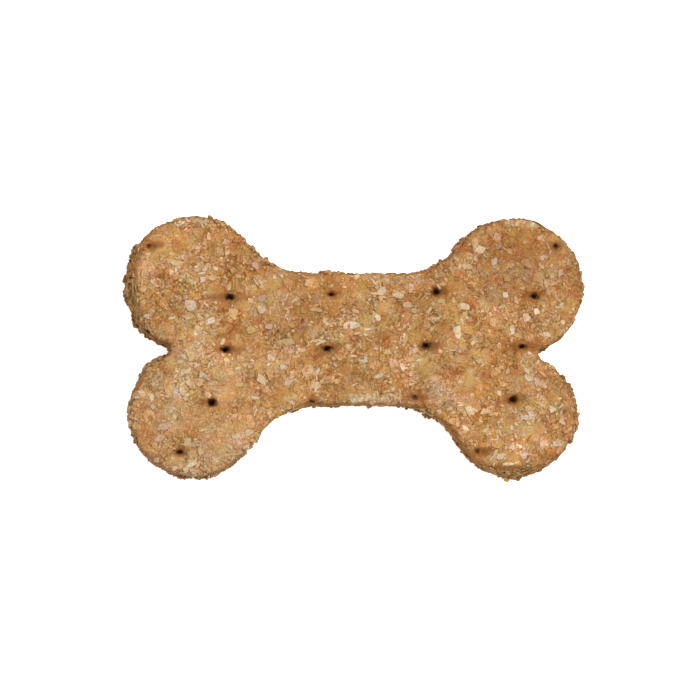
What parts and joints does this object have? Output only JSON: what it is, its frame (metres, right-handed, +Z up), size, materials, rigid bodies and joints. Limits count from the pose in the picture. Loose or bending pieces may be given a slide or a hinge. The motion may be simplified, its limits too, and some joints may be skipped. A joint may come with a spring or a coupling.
{
  "type": "dog biscuit",
  "caption": "Bone-shaped baked dog biscuit with a flat base, a docked top and bran flakes standing in its crust.",
  "frame": {"origin": "middle of the flat base", "axes": "+X along the bone's long side, +Y across it towards the pair of larger lobes, +Z up from the base"},
  "size_m": [0.0943, 0.0543, 0.0119],
  "materials": {
    "crust": "matt baked bran dough, golden tan with paler flakes"
  },
  "bodies": {
    "root": {"biscuit": "crust"}
  },
  "joints": []
}
